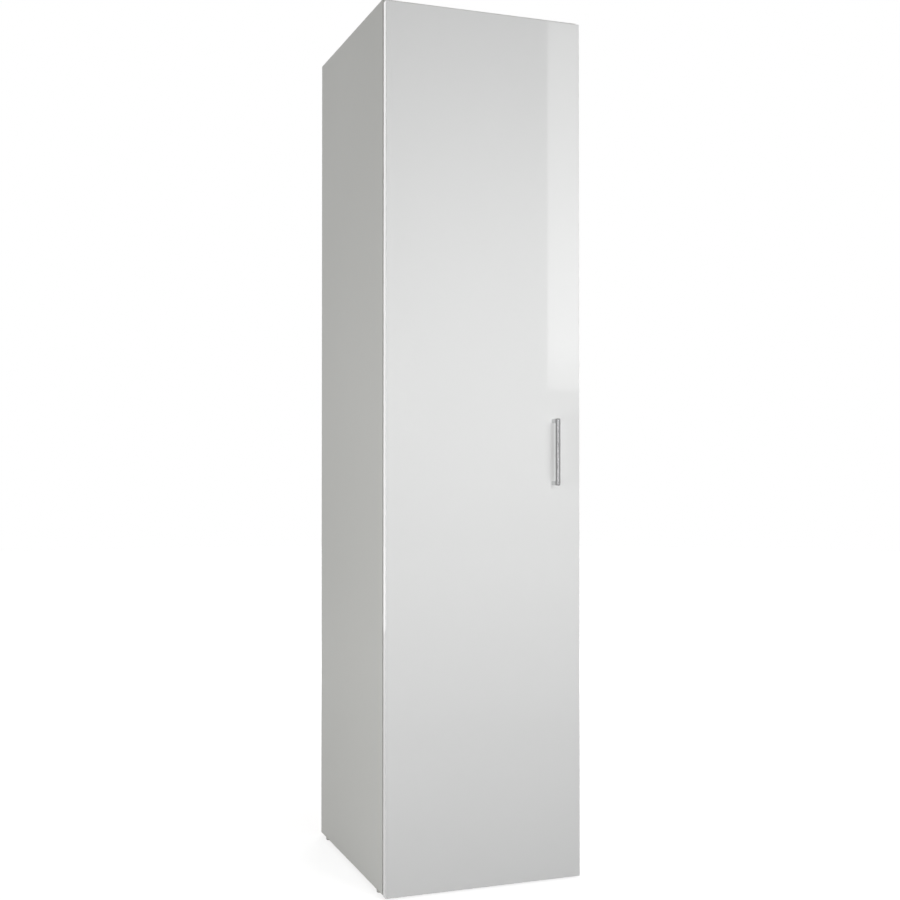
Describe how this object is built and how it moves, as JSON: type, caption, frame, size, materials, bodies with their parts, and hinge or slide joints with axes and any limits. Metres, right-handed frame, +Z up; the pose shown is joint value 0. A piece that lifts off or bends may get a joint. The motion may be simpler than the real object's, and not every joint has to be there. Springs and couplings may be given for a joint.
{
  "type": "wardrobe",
  "caption": "Tall narrow wardrobe with a full-height gloss door on concealed cup hinges, a bow handle, a hat shelf and a clothes rail.",
  "frame": {"origin": "on the floor, at the middle of the width and of the depth from the handle's front to the rear edges of the sides", "axes": "+X to the right as seen from the front, +Y from the door to the back, +Z up"},
  "size_m": [0.468, 0.5746, 1.97],
  "materials": {
    "side_board": "white melamine, satin",
    "inner_board": "white melamine, satin",
    "back_sheet": "white faced hardboard, matt",
    "joiner_plastic": "moulded, matt",
    "pin_steel": "zinc plated",
    "rail_chrome": "polished",
    "socket_metal": "die cast, plated",
    "screw_steel": "zinc plated",
    "cam_metal": "die cast, bare",
    "dowel_wood": "raw beech",
    "glide_plastic": "moulded, matt",
    "bracket_steel": "zinc plated",
    "hinge_plate_metal": "die cast, nickel plated",
    "hinge_steel": "pressed, nickel plated",
    "link_steel": "pressed, nickel plated",
    "door_lacquer": "white lacquer, high gloss",
    "handle_metal": "polished",
    "bumper_plastic": "soft, clear"
  },
  "bodies": {
    "carcass": {"side_panel_left": "side_board", "side_panel_right": "side_board", "top_panel": "inner_board", "bottom_panel": "inner_board", "plinth_board": "inner_board", "back_upper": "back_sheet", "back_lower": "back_sheet", "back_joiner": "joiner_plastic", "hat_shelf": "inner_board", "shelf_pins": "pin_steel", "clothes_rail": "rail_chrome", "rail_socket_left": "socket_metal", "rail_socket_right": "socket_metal", "rail_screws": "screw_steel", "cam_fittings": "cam_metal", "cam_bolts": "screw_steel", "dowels": "dowel_wood", "plinth_dowels": "dowel_wood", "glides": "glide_plastic", "wall_bracket_left": "bracket_steel", "wall_bracket_right": "bracket_steel", "bracket_screws": "screw_steel", "hinge_plate_1": "hinge_plate_metal", "hinge_plate_2": "hinge_plate_metal", "hinge_plate_3": "hinge_plate_metal", "hinge_plate_4": "hinge_plate_metal", "plate_screws": "screw_steel", "hinge_arm_1": "hinge_steel", "hinge_arm_2": "hinge_steel", "hinge_arm_3": "hinge_steel", "hinge_arm_4": "hinge_steel", "arm_screws": "screw_steel", "arm_pins": "pin_steel"},
    "long_links": {"long_link_1": "link_steel", "long_link_2": "link_steel", "long_link_3": "link_steel", "long_link_4": "link_steel"},
    "door": {"door_panel": "door_lacquer", "hinge_cup_1": "hinge_steel", "hinge_cup_2": "hinge_steel", "hinge_cup_3": "hinge_steel", "hinge_cup_4": "hinge_steel", "cup_pins": "pin_steel", "cup_screws": "screw_steel", "handle": "handle_metal", "handle_screws": "screw_steel", "door_bumpers": "bumper_plastic"},
    "short_links": {"short_link_1": "link_steel", "short_link_2": "link_steel", "short_link_3": "link_steel", "short_link_4": "link_steel"}
  },
  "joints": [
    {"name": "long_link_swing", "type": "hinge", "parent": "carcass", "child": "long_links", "pos_m": [-0.2055, -0.21655, 0.98325], "axis": [0, 0, -1], "range_deg": [-28.5, 0]},
    {"name": "door_swing", "type": "hinge", "parent": "long_links", "child": "door", "pos_m": [-0.2245, -0.23975, 0.98325], "axis": [0, 0, -1], "range_deg": [0, 123.5]},
    {"name": "short_link_swing", "type": "hinge", "parent": "door", "child": "short_links", "pos_m": [-0.2205, -0.24225, 0.98325], "axis": [0, 0, -1], "range_deg": [-133, 0]}
  ],
  "couplings": [
    {"joint": "long_link_swing", "follows": "door_swing", "ratio": -0.23077},
    {"joint": "short_link_swing", "follows": "door_swing", "ratio": -1.0769}
  ]
}
